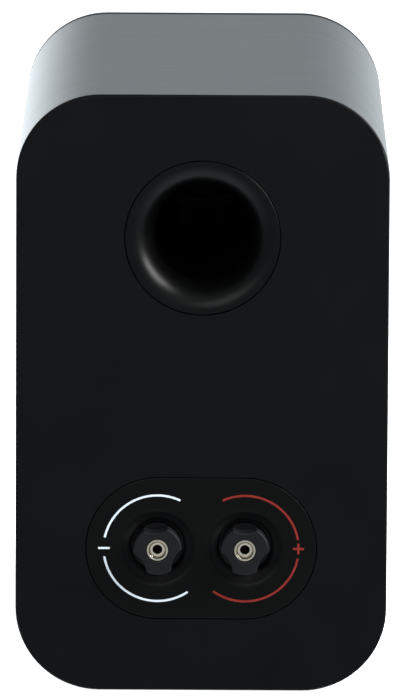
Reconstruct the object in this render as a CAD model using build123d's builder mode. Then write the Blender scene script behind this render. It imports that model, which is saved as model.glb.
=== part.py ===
from build123d import *
import math
import os

os.makedirs("parts", exist_ok=True)

# A two-way bookshelf speaker, in millimetres. +Z is up and the origin is on the floor, under the
# middle of the cabinet. The drivers look along -Y, and the port and the terminals are on the +Y face.

# Cabinet
width = 170.0
height = 276.0
corner_radius = 38.6
wall = 15.0
front_y = -139.5            # face of the baffle
rear_y = 134.0              # face of the rear panel
baffle_thickness = 18.0
baffle_lip = 8.0            # the part of the baffle that covers the shell's edge
baffle_edge_radius = 2.0
panel_thickness = 16.2
panel_lip = 1.2
panel_edge_radius = 1.0
fit_gap = 0.05              # between pieces that are fixed together, one inside the other

# Threaded inserts in the base, for a stand
insert_pitch_x = 70.0
insert_pitch_y = 120.0
insert_radius = 4.0
insert_bore_radius = 2.5
insert_length = 12.0

# Port, with depths measured in from the rear face
port_z = 210.2
port_flange_radius = 35.5
port_flange_thickness = 2.9
port_neck_radius = 30.0
flare_throat_radius = 21.8
flare_depth = 18.5
flare_curve_radius = 34.0   # where the flare's curve runs out into its flat flange
tube_inner_radius = 22.3
tube_outer_radius = 24.8
tube_end_depth = 100.0
collar_radius = 27.4
port_end_depth = 112.0
inner_mouth_radius = 32.3

# Terminal cup, with depths measured in from the rear face
terminal_z = 66.4
terminal_pitch = 40.0
cup_flange_height = 65.4
cup_flange_thickness = 2.8
cup_rebate_depth = 3.2
cup_window_height = 54.0
cup_well_radius = 21.5
cup_depth = 13.0
dish_radius = 19.0
dish_floor_radius = 12.0    # the mouth rolls in from the flange down to a floor this wide
dish_depth = 9.5

# Binding posts and their screw caps; a negative depth stands out of the rear face
post_radius = 3.5
post_tip = -3.0
post_end = 30.0
post_shoulder_radius = 6.0
post_shoulder_depth = 11.0
socket_radius = 2.05
socket_end = 20.5
wire_hole_radius = 1.6
wire_hole_depth = 6.8
cap_radius = 11.06
cap_front = -7.0
cap_lobe_end = 5.0
cap_rear = 8.0
cap_flange_radius = 11.0
cap_edge_radius = 0.6
cap_corner_radius = 0.9
scallop_depth = 2.76
scallop_radius = 11.0
bush_radius = 5.2
bush_bore_radius = 3.56
bush_front = -5.0
washer_front = 8.2
washer_rear = 9.1
washer_outer_radius = 10.5
washer_web_radius = 6.3     # inside this the washer is thinner
washer_web_thickness = 0.6
insulator_neck_radius = 4.5
insulator_flange_radius = 8.0
insulator_end = 15.0
nut_across_flats = 10.0
nut_height = 3.0
nut_starts = (15.05, 19.0)
tag_start = 18.1
tag_thickness = 0.8

# Woofer, with depths measured back from the baffle's face
woofer_z = 92.0
woofer_rebate_radius = 73.0
woofer_rebate_depth = 6.0
woofer_hole_radius = 60.5
woofer_flange_radius = 72.5
woofer_flange_front = 1.2
woofer_flange_rear = 5.2
woofer_screw_circle = 67.5
woofer_screw_length = 15.0
woofer_screw_hole_radius = 2.2
surround_centre_radius = 55.0
surround_roll_radius = 4.2
surround_thickness = 0.8
surround_flat_depth = 3.2
cone_edge_radius = 51.0
cone_slope_radius = 48.4
cone_edge_depth = 4.05
cone_neck_depth = 27.5
cone_thickness = 0.8
former_inner_radius = 12.6
former_outer_radius = 13.0
dust_cap_radius = 21.5
dust_cap_rise = 7.0
spider_depth = 35.15
spider_thickness = 0.6
spider_radius = 38.2
seat_depth = 48.0
gap_outer_radius = 14.0
top_plate_radius = 39.0
top_plate_thickness = 5.0
magnet_radius = 45.0
magnet_thickness = 15.0
yoke_thickness = 5.0
vent_radius = 4.0
pole_radius = 12.2

# Tweeter, with depths measured back from the baffle's face
tweeter_z = 214.0
tweeter_rebate_radius = 43.5
tweeter_rebate_depth = 5.0
tweeter_hole_radius = 33.0
faceplate_radius = 43.0
faceplate_rear = 4.2
tweeter_screw_circle = 39.5
tweeter_screw_length = 14.0
tweeter_screw_hole_radius = 1.8
dome_radius = 11.0
dome_rise = 4.0
dome_base_depth = 4.2
tweeter_plate_depth = 5.2
tweeter_plate_thickness = 3.0
tweeter_magnet_radius = 31.0
tweeter_magnet_thickness = 8.0
tweeter_yoke_end = 20.0
chamber_radius = 24.0
chamber_length = 16.0
chamber_wall = 2.0

# Crossover board on the cabinet's floor
board_length_x = 100.0
board_length_y = 90.0
board_centre_y = 53.0
board_thickness = 1.6
standoff_height = 8.0
standoff_radius = 3.5
standoff_pitch_x = 87.0
standoff_pitch_y = 78.0
board_hole_radius = 1.6
tab_width = 6.3             # blade terminals on the board
tab_thickness = 0.8
tab_height = 8.0
component_radius = 7.0

# Brace and wadding
brace_y = -14.0
brace_thickness = 12.0
wadding_thickness = 12.0

# Internal wires
wire_radius = 1.0

# Worked out from the sizes above
inner_width = width - 2 * wall
inner_height = height - 2 * wall
inner_corner_radius = corner_radius - wall
mid_z = height / 2
shell_front_y = front_y + baffle_lip
shell_rear_y = rear_y - panel_lip
inner_flare_start = tube_end_depth - 8
cone_slope = (cone_neck_depth - cone_edge_depth) / (cone_slope_radius - former_outer_radius)
magnet_depth = seat_depth + top_plate_thickness + 2 * fit_gap
yoke_depth = magnet_depth + magnet_thickness + 2 * fit_gap
board_z = wall + standoff_height
board_top = board_z + board_thickness
post_places = (terminal_pitch / 2, -terminal_pitch / 2)
# Each terminal: its name, its place across the cabinet, and how far its cap is turned at rest
terminals = (("negative", post_places[0], -4.5), ("positive", post_places[1], 0.0))


def across(x, y, z):
    """Plane square to the drivers' axes, facing the front: a negative extrusion runs to the rear."""
    return Plane(origin=(x, y, z), x_dir=(1, 0, 0), z_dir=(0, -1, 0))


def driver_section(z, angle=0.0):
    """Half section of a driver: out from its axis, then back from the baffle's face."""
    turn = math.radians(angle)
    out = (math.cos(turn), 0, math.sin(turn))
    return Plane(origin=(0, front_y, z), x_dir=out, z_dir=(-math.sin(turn), 0, math.cos(turn)))


def rear_section(x, z):
    """Half section of a rear fitting: out from its axis, then in from the rear face."""
    return Plane(origin=(x, rear_y, z), x_dir=(1, 0, 0), z_dir=(0, 0, -1))


def axis_at(x, z):
    """Axis from the front to the rear at x and z."""
    return Axis((x, 0, z), (0, 1, 0))


def outline(plane, *points):
    """Closed profile with straight sides."""
    with BuildSketch(plane) as profile:
        with BuildLine():
            Polyline(*points, close=True)
        make_face()
    return profile.sketch


def ring(plane, outer_radius, inner_radius):
    """Flat ring, to be extruded."""
    with BuildSketch(plane) as profile:
        Circle(outer_radius)
        Circle(inner_radius, mode=Mode.SUBTRACT)
    return profile.sketch


def countersunk_screw(head_radius, shank_radius, length):
    """Cross-recessed screw with its head up at the origin and its shank down -Z."""
    head_depth = head_radius - shank_radius
    recess_reach = 1.2 * head_radius
    recess_width = 0.28 * head_radius
    with BuildPart() as screw:
        with BuildSketch(Plane.XZ):
            with BuildLine():
                Polyline(
                    (0, 0),
                    (head_radius, 0),
                    (shank_radius, -head_depth),
                    (shank_radius, shank_radius - length),
                    (0, -length),
                    close=True,
                )
            make_face()
        revolve(axis=Axis.Z)
        with BuildSketch(Plane.XY):
            Rectangle(recess_reach, recess_width)
            Rectangle(recess_width, recess_reach)
        extrude(amount=-head_depth, mode=Mode.SUBTRACT)
    return screw.part


def insulated_wire(*points):
    """Wire along straight runs joined by arcs as large as the runs allow."""
    corners = [Vector(point) for point in points]
    radii = []
    for before, corner, after in zip(corners, corners[1:], corners[2:]):
        half_turn = math.radians((corner - before).get_angle(after - corner)) / 2
        shorter_run = min((corner - before).length, (after - corner).length)
        radii.append(0.45 * shorter_run / math.tan(half_turn))
    print("wire radii:", [round(radius, 1) for radius in radii])
    with BuildPart() as wire:
        with BuildLine() as route:
            FilletPolyline(*points, radius=radii)
        with BuildSketch(Plane(origin=route.line @ 0, z_dir=route.line % 0)):
            Circle(wire_radius)
        sweep()
    expected_volume = math.pi * wire_radius**2 * route.wire().length
    print("wire volume, made over expected:", round(wire.part.volume / expected_volume, 4))
    return wire.part


# Cabinet

with BuildPart() as cabinet_shell:
    with BuildSketch(across(0, shell_front_y, mid_z)):
        RectangleRounded(width, height, corner_radius)
        RectangleRounded(inner_width, inner_height, inner_corner_radius, mode=Mode.SUBTRACT)
    extrude(amount=shell_front_y - shell_rear_y)
    with BuildSketch(Plane.XY):
        with GridLocations(insert_pitch_x, insert_pitch_y, 2, 2):
            Circle(insert_radius + fit_gap)
    extrude(amount=insert_length, mode=Mode.SUBTRACT)
cabinet_shell.part.label = "cabinet_shell"

with BuildPart() as front_baffle:
    with BuildSketch(across(0, front_y, mid_z)):
        RectangleRounded(width, height, corner_radius)
    extrude(amount=-baffle_lip)
    fillet(front_baffle.faces().sort_by(Axis.Y)[0].edges(), baffle_edge_radius)
    with BuildSketch(across(0, shell_front_y, mid_z)):
        RectangleRounded(
            inner_width - 2 * fit_gap, inner_height - 2 * fit_gap, inner_corner_radius - fit_gap
        )
    extrude(amount=baffle_lip - baffle_thickness)
    with BuildSketch(across(0, front_y, woofer_z)):
        Circle(woofer_rebate_radius)
    extrude(amount=-woofer_rebate_depth, mode=Mode.SUBTRACT)
    with BuildSketch(across(0, front_y, tweeter_z)):
        Circle(tweeter_rebate_radius)
    extrude(amount=-tweeter_rebate_depth, mode=Mode.SUBTRACT)
    with Locations(across(0, front_y, woofer_z)):
        Hole(woofer_hole_radius)
        with PolarLocations(woofer_screw_circle, 6):
            Hole(1.8, depth=woofer_screw_length + 2)
    with Locations(across(0, front_y, tweeter_z)):
        Hole(tweeter_hole_radius)
        with PolarLocations(tweeter_screw_circle, 4, start_angle=45):
            Hole(1.6, depth=tweeter_screw_length + 1)
front_baffle.part.label = "front_baffle"

with BuildPart() as rear_panel:
    with BuildSketch(across(0, rear_y, mid_z)):
        RectangleRounded(width, height, corner_radius)
    extrude(amount=panel_lip)
    fillet(rear_panel.faces().sort_by(Axis.Y)[-1].edges(), panel_edge_radius)
    with BuildSketch(across(0, shell_rear_y, mid_z)):
        RectangleRounded(
            inner_width - 2 * fit_gap, inner_height - 2 * fit_gap, inner_corner_radius - fit_gap
        )
    extrude(amount=panel_thickness - panel_lip)
    with BuildSketch(across(0, rear_y, port_z)):
        Circle(port_flange_radius + 0.3)
    extrude(amount=port_flange_thickness + fit_gap, mode=Mode.SUBTRACT)
    with BuildSketch(across(0, rear_y, port_z)):
        Circle(port_neck_radius + 0.3)
    extrude(amount=panel_thickness, mode=Mode.SUBTRACT)
    with BuildSketch(across(0, rear_y, terminal_z)):
        SlotCenterToCenter(terminal_pitch, cup_flange_height + 0.8)
    extrude(amount=cup_rebate_depth, mode=Mode.SUBTRACT)
    with BuildSketch(across(0, rear_y, terminal_z)):
        SlotCenterToCenter(terminal_pitch, cup_window_height)
    extrude(amount=panel_thickness, mode=Mode.SUBTRACT)
rear_panel.part.label = "rear_panel"

with BuildPart() as window_brace:
    with BuildSketch(across(0, brace_y, mid_z)):
        RectangleRounded(
            inner_width - 2 * fit_gap, inner_height - 2 * fit_gap, inner_corner_radius - fit_gap
        )
        RectangleRounded(inner_width - 56, inner_height - 56, 20, mode=Mode.SUBTRACT)
    extrude(amount=-brace_thickness)
window_brace.part.label = "window_brace"

with BuildPart() as wadding_pads:
    pad_middle = (inner_width - wadding_thickness) / 2 - 0.2
    with Locations((pad_middle, -64, mid_z), (-pad_middle, -64, mid_z)):
        Box(wadding_thickness, 92, 180)
    fillet(wadding_pads.edges(), 3)
wadding_pads.part.label = "wadding_pads"

with BuildPart() as stand_inserts:
    with BuildSketch(Plane.XY):
        with GridLocations(insert_pitch_x, insert_pitch_y, 2, 2):
            Circle(insert_radius)
            Circle(insert_bore_radius, mode=Mode.SUBTRACT)
    extrude(amount=insert_length - fit_gap)
stand_inserts.part.label = "stand_inserts"

# Port: a flared mouth, a tube, and a flare on the tube's inner end

with BuildPart() as port_flare:
    with BuildSketch(rear_section(0, port_z)):
        with BuildLine():
            EllipticalCenterArc(
                (flare_curve_radius, flare_depth),
                flare_curve_radius - flare_throat_radius,
                flare_depth,
                start_angle=180,
                arc_size=90,
            )
            Polyline(
                (flare_curve_radius, 0),
                (port_flange_radius - 0.4, 0),
                (port_flange_radius, 0.4),
                (port_flange_radius, port_flange_thickness),
                (port_neck_radius, port_flange_thickness),
                (port_neck_radius, 6),
                (collar_radius, 12),
                (collar_radius, 30),
                (tube_outer_radius + fit_gap, 30),
                (tube_outer_radius + fit_gap, flare_depth),
                (flare_throat_radius, flare_depth),
            )
        make_face()
    revolve(axis=axis_at(0, port_z))
port_flare.part.label = "port_flare"

with BuildPart() as port_tube:
    tube_start_y = rear_y - flare_depth - fit_gap
    extrude(
        ring(across(0, tube_start_y, port_z), tube_outer_radius, tube_inner_radius),
        amount=tube_end_depth - flare_depth - 2 * fit_gap,
    )
port_tube.part.label = "port_tube"

with BuildPart() as port_inner_flare:
    with BuildSketch(rear_section(0, port_z)):
        with BuildLine():
            EllipticalCenterArc(
                (inner_mouth_radius, tube_end_depth),
                inner_mouth_radius - tube_inner_radius,
                port_end_depth - tube_end_depth,
                start_angle=90,
                arc_size=90,
            )
            Polyline(
                (tube_inner_radius, tube_end_depth),
                (tube_outer_radius + fit_gap, tube_end_depth),
                (tube_outer_radius + fit_gap, inner_flare_start),
                (collar_radius, inner_flare_start),
                (collar_radius, tube_end_depth + 4),
                (inner_mouth_radius + 1.5, port_end_depth - 2),
                (inner_mouth_radius + 1.5, port_end_depth),
                (inner_mouth_radius, port_end_depth),
            )
        make_face()
    revolve(axis=axis_at(0, port_z))
port_inner_flare.part.label = "port_inner_flare"

# Terminal cup and binding posts

with BuildPart() as terminal_cup:
    with BuildSketch(across(0, rear_y, terminal_z)):
        SlotCenterToCenter(terminal_pitch, cup_flange_height)
    extrude(amount=cup_flange_thickness)
    fillet(terminal_cup.faces().sort_by(Axis.Y)[-1].edges(), 0.5)
    with BuildSketch(across(0, rear_y - cup_flange_thickness, terminal_z)):
        with GridLocations(terminal_pitch, 1, 2, 1):
            Circle(cup_well_radius)
    extrude(amount=cup_depth - cup_flange_thickness)
    for post_x in post_places:
        with BuildSketch(rear_section(post_x, terminal_z)):
            with BuildLine():
                EllipticalCenterArc(
                    (dish_radius, dish_depth),
                    dish_radius - dish_floor_radius,
                    dish_depth,
                    start_angle=180,
                    arc_size=90,
                )
                Polyline(
                    (dish_floor_radius, dish_depth),
                    (post_shoulder_radius + 0.1, dish_depth),
                    (post_shoulder_radius + 0.1, post_shoulder_depth + fit_gap),
                    (insulator_neck_radius + 0.1, post_shoulder_depth + fit_gap),
                    (insulator_neck_radius + 0.1, cup_depth),
                    (0, cup_depth),
                    (0, 0),
                    (dish_radius, 0),
                )
            make_face()
        revolve(axis=axis_at(post_x, terminal_z), mode=Mode.SUBTRACT)
terminal_cup.part.label = "terminal_cup"

with BuildPart() as terminal_gasket:
    with BuildSketch(across(0, rear_y - cup_flange_thickness - fit_gap, terminal_z)):
        SlotCenterToCenter(terminal_pitch, cup_flange_height)
        SlotCenterToCenter(terminal_pitch, cup_window_height, mode=Mode.SUBTRACT)
    extrude(amount=cup_rebate_depth - cup_flange_thickness - 2 * fit_gap)
terminal_gasket.part.label = "terminal_gasket"

with BuildPart() as binding_posts:
    for post_x in post_places:
        revolve(
            outline(
                rear_section(post_x, terminal_z),
                (0, socket_end),
                (socket_radius, socket_end),
                (socket_radius, post_tip + 0.3),
                (socket_radius + 0.25, post_tip),
                (post_radius - 0.3, post_tip),
                (post_radius, post_tip + 0.3),
                (post_radius, dish_depth),
                (post_shoulder_radius, dish_depth),
                (post_shoulder_radius, post_shoulder_depth),
                (post_radius, post_shoulder_depth),
                (post_radius, post_end),
                (0, post_end),
            ),
            axis=axis_at(post_x, terminal_z),
        )
        with Locations(Plane(origin=(post_x, rear_y - wire_hole_depth, terminal_z), z_dir=(1, 0, 0))):
            Cylinder(wire_hole_radius, 4 * post_radius, mode=Mode.SUBTRACT)
binding_posts.part.label = "binding_posts"

with BuildPart() as post_insulators:
    for post_x in post_places:
        revolve(
            outline(
                rear_section(post_x, terminal_z),
                (post_radius + fit_gap, post_shoulder_depth + 2 * fit_gap),
                (insulator_neck_radius, post_shoulder_depth + 2 * fit_gap),
                (insulator_neck_radius, cup_depth + fit_gap),
                (insulator_flange_radius, cup_depth + fit_gap),
                (insulator_flange_radius, insulator_end),
                (post_radius + fit_gap, insulator_end),
            ),
            axis=axis_at(post_x, terminal_z),
        )
post_insulators.part.label = "post_insulators"

with BuildPart() as post_nuts:
    for nut_start in nut_starts:
        with BuildSketch(across(0, rear_y - nut_start, terminal_z)):
            with GridLocations(terminal_pitch, 1, 2, 1):
                RegularPolygon(nut_across_flats / 2, 6, major_radius=False)
                Circle(post_radius + fit_gap, mode=Mode.SUBTRACT)
        extrude(amount=nut_height)
post_nuts.part.label = "post_nuts"

with BuildPart() as solder_tags:
    with BuildSketch(across(0, rear_y - tag_start, terminal_z)):
        with GridLocations(terminal_pitch, 1, 2, 1):
            Circle(6)
            with Locations((0, -9)):
                Rectangle(5, 10)
            Circle(post_radius + fit_gap, mode=Mode.SUBTRACT)
            with Locations((0, -11)):
                Circle(1.1, mode=Mode.SUBTRACT)
    extrude(amount=tag_thickness)
solder_tags.part.label = "solder_tags"

washers = []
caps = []
bushes = []
for name, post_x, cap_turn in terminals:
    with BuildPart() as washer:
        extrude(
            ring(across(post_x, rear_y - washer_front, terminal_z), washer_outer_radius, washer_web_radius),
            amount=washer_rear - washer_front,
        )
        extrude(
            ring(across(post_x, rear_y - washer_front, terminal_z), washer_web_radius, post_radius + 0.3),
            amount=washer_web_thickness,
        )
    washer.part.label = f"{name}_washer"
    washers.append(washer)

    # The cap is a round flange behind a grip with three scallops
    with BuildPart() as cap:
        with BuildSketch(across(post_x, rear_y - cap_front, terminal_z)):
            Circle(cap_radius)
            with PolarLocations(cap_radius - scallop_depth + scallop_radius, 3, start_angle=90 + cap_turn):
                Circle(scallop_radius, mode=Mode.SUBTRACT)
        extrude(amount=cap_lobe_end - cap_front)
        fillet(cap.edges().filter_by(Axis.Y), cap_corner_radius)
        fillet(cap.faces().sort_by(Axis.Y)[-1].edges(), cap_edge_radius)
        with BuildSketch(across(post_x, rear_y - cap_lobe_end, terminal_z)):
            Circle(cap_flange_radius)
        extrude(amount=cap_rear - cap_lobe_end)
        with Locations(across(post_x, rear_y, terminal_z)):
            Cylinder(bush_radius + fit_gap, 4 * cap_radius, mode=Mode.SUBTRACT)
    cap.part.label = f"{name}_cap"
    caps.append(cap)

    with BuildPart() as bush:
        revolve(
            outline(
                rear_section(post_x, terminal_z),
                (bush_bore_radius, bush_front + 0.5),
                (bush_bore_radius + 0.5, bush_front),
                (bush_radius - 0.4, bush_front),
                (bush_radius, bush_front + 0.4),
                (bush_radius, cap_rear),
                (bush_bore_radius, cap_rear),
            ),
            axis=axis_at(post_x, terminal_z),
        )
    bush.part.label = f"{name}_bush"
    bushes.append(bush)

# Crossover

with BuildPart() as crossover_board:
    with BuildSketch(Plane.XY.offset(board_z)):
        with Locations((0, board_centre_y)):
            RectangleRounded(board_length_x, board_length_y, 3)
            with GridLocations(standoff_pitch_x, standoff_pitch_y, 2, 2):
                Circle(board_hole_radius, mode=Mode.SUBTRACT)
    extrude(amount=board_thickness)
crossover_board.part.label = "crossover_board"

with BuildPart() as board_standoffs:
    with BuildSketch(Plane.XY.offset(wall + 0.02)):
        with Locations((0, board_centre_y)):
            with GridLocations(standoff_pitch_x, standoff_pitch_y, 2, 2):
                Circle(standoff_radius)
                Circle(board_hole_radius, mode=Mode.SUBTRACT)
    extrude(amount=standoff_height - 0.04)
board_standoffs.part.label = "board_standoffs"

with BuildPart() as board_screws:
    with Locations((0, board_centre_y, board_top)):
        with GridLocations(standoff_pitch_x, standoff_pitch_y, 2, 2):
            Cylinder(1.5, 8, align=(Align.CENTER, Align.CENTER, Align.MAX))
            Cylinder(2.8, 1.8, align=(Align.CENTER, Align.CENTER, Align.MIN))
    fillet(board_screws.faces().group_by(Axis.Z)[-1].edges(), 0.8)
board_screws.part.label = "board_screws"

with BuildPart() as board_tabs:
    with Locations((0, board_centre_y, board_top)):
        with GridLocations(16, 82, 2, 2):
            Box(tab_width, tab_thickness, tab_height, align=(Align.CENTER, Align.CENTER, Align.MIN))
    with Locations((22, board_centre_y - 41, board_top), (36, board_centre_y - 41, board_top)):
        Box(tab_width, tab_thickness, tab_height, align=(Align.CENTER, Align.CENTER, Align.MIN))
board_tabs.part.label = "board_tabs"

# Each inductor: its middle on the board, bobbin radius, core radius and height
inductors = ((-27, 37, 18, 8, 20), (26, 36, 13, 6, 15))
bobbin_wall = 1.5
with BuildPart() as inductor_bobbins:
    for coil_x, coil_y, bobbin_radius, core_radius, coil_height in inductors:
        with BuildSketch(across(coil_x, coil_y, board_top + fit_gap)):
            with BuildLine():
                Polyline(
                    (core_radius - 2, 0),
                    (bobbin_radius, 0),
                    (bobbin_radius, bobbin_wall),
                    (core_radius, bobbin_wall),
                    (core_radius, coil_height - bobbin_wall),
                    (bobbin_radius, coil_height - bobbin_wall),
                    (bobbin_radius, coil_height),
                    (core_radius - 2, coil_height),
                    close=True,
                )
            make_face()
        revolve(axis=Axis((coil_x, coil_y, 0), (0, 0, 1)))
inductor_bobbins.part.label = "inductor_bobbins"

with BuildPart() as inductor_windings:
    for coil_x, coil_y, bobbin_radius, core_radius, coil_height in inductors:
        with BuildSketch(Plane.XY.offset(board_top + bobbin_wall + 0.1)):
            with Locations((coil_x, coil_y)):
                Circle(bobbin_radius - 1.5)
                Circle(core_radius + fit_gap, mode=Mode.SUBTRACT)
        extrude(amount=coil_height - 2 * bobbin_wall - 0.2)
inductor_windings.part.label = "inductor_windings"


def lying_cylinder(x, y, length):
    """Component that lies along X on the board."""
    with BuildPart() as component:
        with Locations((x, y, board_top + component_radius + 0.1)):
            Cylinder(component_radius, length, rotation=(0, 90, 0))
        chamfer(component.edges().filter_by(GeomType.CIRCLE), 0.8)
    return component.part


with BuildPart() as film_capacitors:
    add(lying_cylinder(-26, 66, 34))
    add(lying_cylinder(-26, 84, 34))
film_capacitors.part.label = "film_capacitors"

with BuildPart() as electrolytic_capacitor:
    add(lying_cylinder(24, 60, 32))
electrolytic_capacitor.part.label = "electrolytic_capacitor"

with BuildPart() as power_resistors:
    with Locations((21, 75, board_top + 0.05), (21, 86, board_top + 0.05)):
        Box(38, 9, 9, align=(Align.CENTER, Align.CENTER, Align.MIN))
    chamfer(power_resistors.edges().filter_by(Axis.X), 0.8)
power_resistors.part.label = "power_resistors"

# Woofer

with BuildPart() as woofer_gasket:
    extrude(
        ring(across(0, front_y + woofer_flange_rear + fit_gap, woofer_z), woofer_flange_radius, 61),
        amount=woofer_flange_rear - woofer_rebate_depth + 2 * fit_gap,
    )
    with Locations(across(0, front_y, woofer_z)):
        with PolarLocations(woofer_screw_circle, 6):
            Hole(woofer_screw_hole_radius)
woofer_gasket.part.label = "woofer_gasket"

with BuildPart() as woofer_basket:
    revolve(
        outline(
            driver_section(woofer_z),
            (15.6, seat_depth),
            (15.6, seat_depth - 2),
            (38.2, seat_depth - 2),
            (38.2, 38),
            (34, 38),
            (34, 36),
            (38.6, 36),
            (57.6, 5.4),
            (58.5, 4.05),
            (64.2, 4.05),
            (64.2, woofer_flange_front),
            (woofer_flange_radius, woofer_flange_front),
            (woofer_flange_radius, woofer_flange_rear),
            (60, woofer_flange_rear),
            (40.4, 37.2),
            (40.4, seat_depth),
        ),
        axis=axis_at(0, woofer_z),
    )
    for spoke in range(6):
        revolve(
            outline(driver_section(woofer_z, 60 * spoke - 20), (39, 9), (61, 9), (61, 32), (39, 32)),
            axis=Axis((0, 0, woofer_z), (0, -1, 0)),
            revolution_arc=40,
            mode=Mode.SUBTRACT,
        )
    with Locations(across(0, front_y + woofer_flange_front, woofer_z)):
        with PolarLocations(woofer_screw_circle, 6):
            CounterSinkHole(1.9, 3.55, depth=10, counter_sink_angle=90)
woofer_basket.part.label = "woofer_basket"

with BuildPart() as woofer_screws:
    with Locations(across(0, front_y + woofer_flange_front + 0.1, woofer_z)):
        with PolarLocations(woofer_screw_circle, 6):
            add(countersunk_screw(3.4, 1.75, woofer_screw_length))
woofer_screws.part.label = "woofer_screws"

with BuildPart() as woofer_cover_ring:
    revolve(
        outline(
            driver_section(woofer_z),
            (60.4, 1.15),
            (60.4, 0.2),
            (61.2, -0.6),
            (72.6, -0.6),
            (72.6, 1.15),
        ),
        axis=axis_at(0, woofer_z),
    )
woofer_cover_ring.part.label = "woofer_cover_ring"

with BuildPart() as woofer_bezel:
    revolve(
        outline(
            driver_section(woofer_z),
            (72.9, -0.05),
            (72.9, -1.0),
            (73.4, -1.5),
            (74.6, -1.5),
            (75.4, -0.7),
            (75.4, -0.05),
        ),
        axis=axis_at(0, woofer_z),
    )
woofer_bezel.part.label = "woofer_bezel"

with BuildPart() as woofer_surround:
    with BuildSketch(driver_section(woofer_z)):
        roll_inside = surround_roll_radius - surround_thickness
        flat_front = surround_flat_depth
        flat_rear = surround_flat_depth + surround_thickness
        with BuildLine():
            ThreePointArc(
                (surround_centre_radius + surround_roll_radius, flat_front),
                (surround_centre_radius, flat_front - surround_roll_radius),
                (surround_centre_radius - surround_roll_radius, flat_front),
            )
            Polyline(
                (surround_centre_radius - surround_roll_radius, flat_front),
                (cone_slope_radius + 0.2, flat_front),
                (cone_slope_radius + 0.2, flat_rear),
                (surround_centre_radius - roll_inside, flat_rear),
                (surround_centre_radius - roll_inside, flat_front),
            )
            ThreePointArc(
                (surround_centre_radius - roll_inside, flat_front),
                (surround_centre_radius, flat_front - roll_inside),
                (surround_centre_radius + roll_inside, flat_front),
            )
            Polyline(
                (surround_centre_radius + roll_inside, flat_front),
                (surround_centre_radius + roll_inside, flat_rear),
                (64, flat_rear),
                (64, flat_front),
                (surround_centre_radius + surround_roll_radius, flat_front),
            )
        make_face()
    revolve(axis=axis_at(0, woofer_z))
woofer_surround.part.label = "woofer_surround"


def cone_front(radius):
    """Depth of the cone's front surface at a radius."""
    return cone_edge_depth + (cone_slope_radius - radius) * cone_slope


with BuildPart() as woofer_cone:
    revolve(
        outline(
            driver_section(woofer_z),
            (cone_edge_radius, cone_edge_depth),
            (cone_slope_radius, cone_edge_depth),
            (former_outer_radius + fit_gap, cone_neck_depth),
            (former_outer_radius + fit_gap, cone_neck_depth + 2),
            (former_outer_radius + cone_thickness, cone_neck_depth + 2),
            (cone_slope_radius, cone_edge_depth + cone_thickness + 0.3),
            (cone_edge_radius, cone_edge_depth + cone_thickness),
        ),
        axis=axis_at(0, woofer_z),
    )
woofer_cone.part.label = "woofer_cone"

with BuildPart() as woofer_dust_cap:
    with BuildSketch(driver_section(woofer_z)):
        rim_depth = cone_front(dust_cap_radius) - fit_gap
        cap_sphere = (dust_cap_radius**2 + dust_cap_rise**2) / (2 * dust_cap_rise)
        with Locations((0, rim_depth - dust_cap_rise + cap_sphere)):
            Circle(cap_sphere)
            Circle(cap_sphere - 0.5, mode=Mode.SUBTRACT)
        with Locations((dust_cap_radius / 2, rim_depth - dust_cap_rise)):
            Rectangle(dust_cap_radius, 3 * dust_cap_rise, mode=Mode.INTERSECT)
        with BuildLine():
            Polyline(
                (dust_cap_radius, rim_depth),
                (dust_cap_radius / 2, cone_front(dust_cap_radius / 2) - fit_gap),
                (dust_cap_radius / 2, cone_neck_depth + dust_cap_rise),
                (dust_cap_radius, cone_neck_depth + dust_cap_rise),
                close=True,
            )
        make_face(mode=Mode.SUBTRACT)
    revolve(axis=axis_at(0, woofer_z))
woofer_dust_cap.part.label = "woofer_dust_cap"

with BuildPart() as woofer_former:
    extrude(
        ring(across(0, front_y + cone_neck_depth - 1, woofer_z), former_outer_radius, former_inner_radius),
        amount=cone_neck_depth - 1 - 55.5,
    )
woofer_former.part.label = "woofer_former"

with BuildPart() as woofer_voice_coil:
    extrude(
        ring(across(0, front_y + 45.5, woofer_z), former_outer_radius + 0.6, former_outer_radius + 0.02),
        amount=-10,
    )
woofer_voice_coil.part.label = "woofer_voice_coil"

with BuildPart() as woofer_spider:
    with BuildSketch(driver_section(woofer_z)):
        wave_start = former_outer_radius + 2
        wave_pitch = (34 - wave_start) / 5
        with BuildLine():
            for wave in range(5):
                near = wave_start + wave * wave_pitch
                swing = 1.0 if wave % 2 else -1.0
                for side in (0, spider_thickness):
                    ThreePointArc(
                        (near, spider_depth + side),
                        (near + wave_pitch / 2, spider_depth + side + swing),
                        (near + wave_pitch, spider_depth + side),
                    )
            Polyline(
                (wave_start, spider_depth),
                (former_outer_radius + 0.1, spider_depth),
                (former_outer_radius + 0.1, spider_depth + spider_thickness),
                (wave_start, spider_depth + spider_thickness),
            )
            Polyline(
                (wave_start + 5 * wave_pitch, spider_depth),
                (spider_radius, spider_depth),
                (spider_radius, spider_depth + spider_thickness),
                (wave_start + 5 * wave_pitch, spider_depth + spider_thickness),
            )
        make_face()
    revolve(axis=axis_at(0, woofer_z))
woofer_spider.part.label = "woofer_spider"

with BuildPart() as woofer_top_plate:
    extrude(
        ring(across(0, front_y + seat_depth + fit_gap, woofer_z), top_plate_radius, gap_outer_radius),
        amount=-top_plate_thickness,
    )
woofer_top_plate.part.label = "woofer_top_plate"

with BuildPart() as woofer_magnet:
    extrude(ring(across(0, front_y + magnet_depth, woofer_z), magnet_radius, 22), amount=-magnet_thickness)
    fillet(woofer_magnet.edges().filter_by(GeomType.CIRCLE).group_by(SortBy.RADIUS)[-1], 1)
woofer_magnet.part.label = "woofer_magnet"

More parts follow.
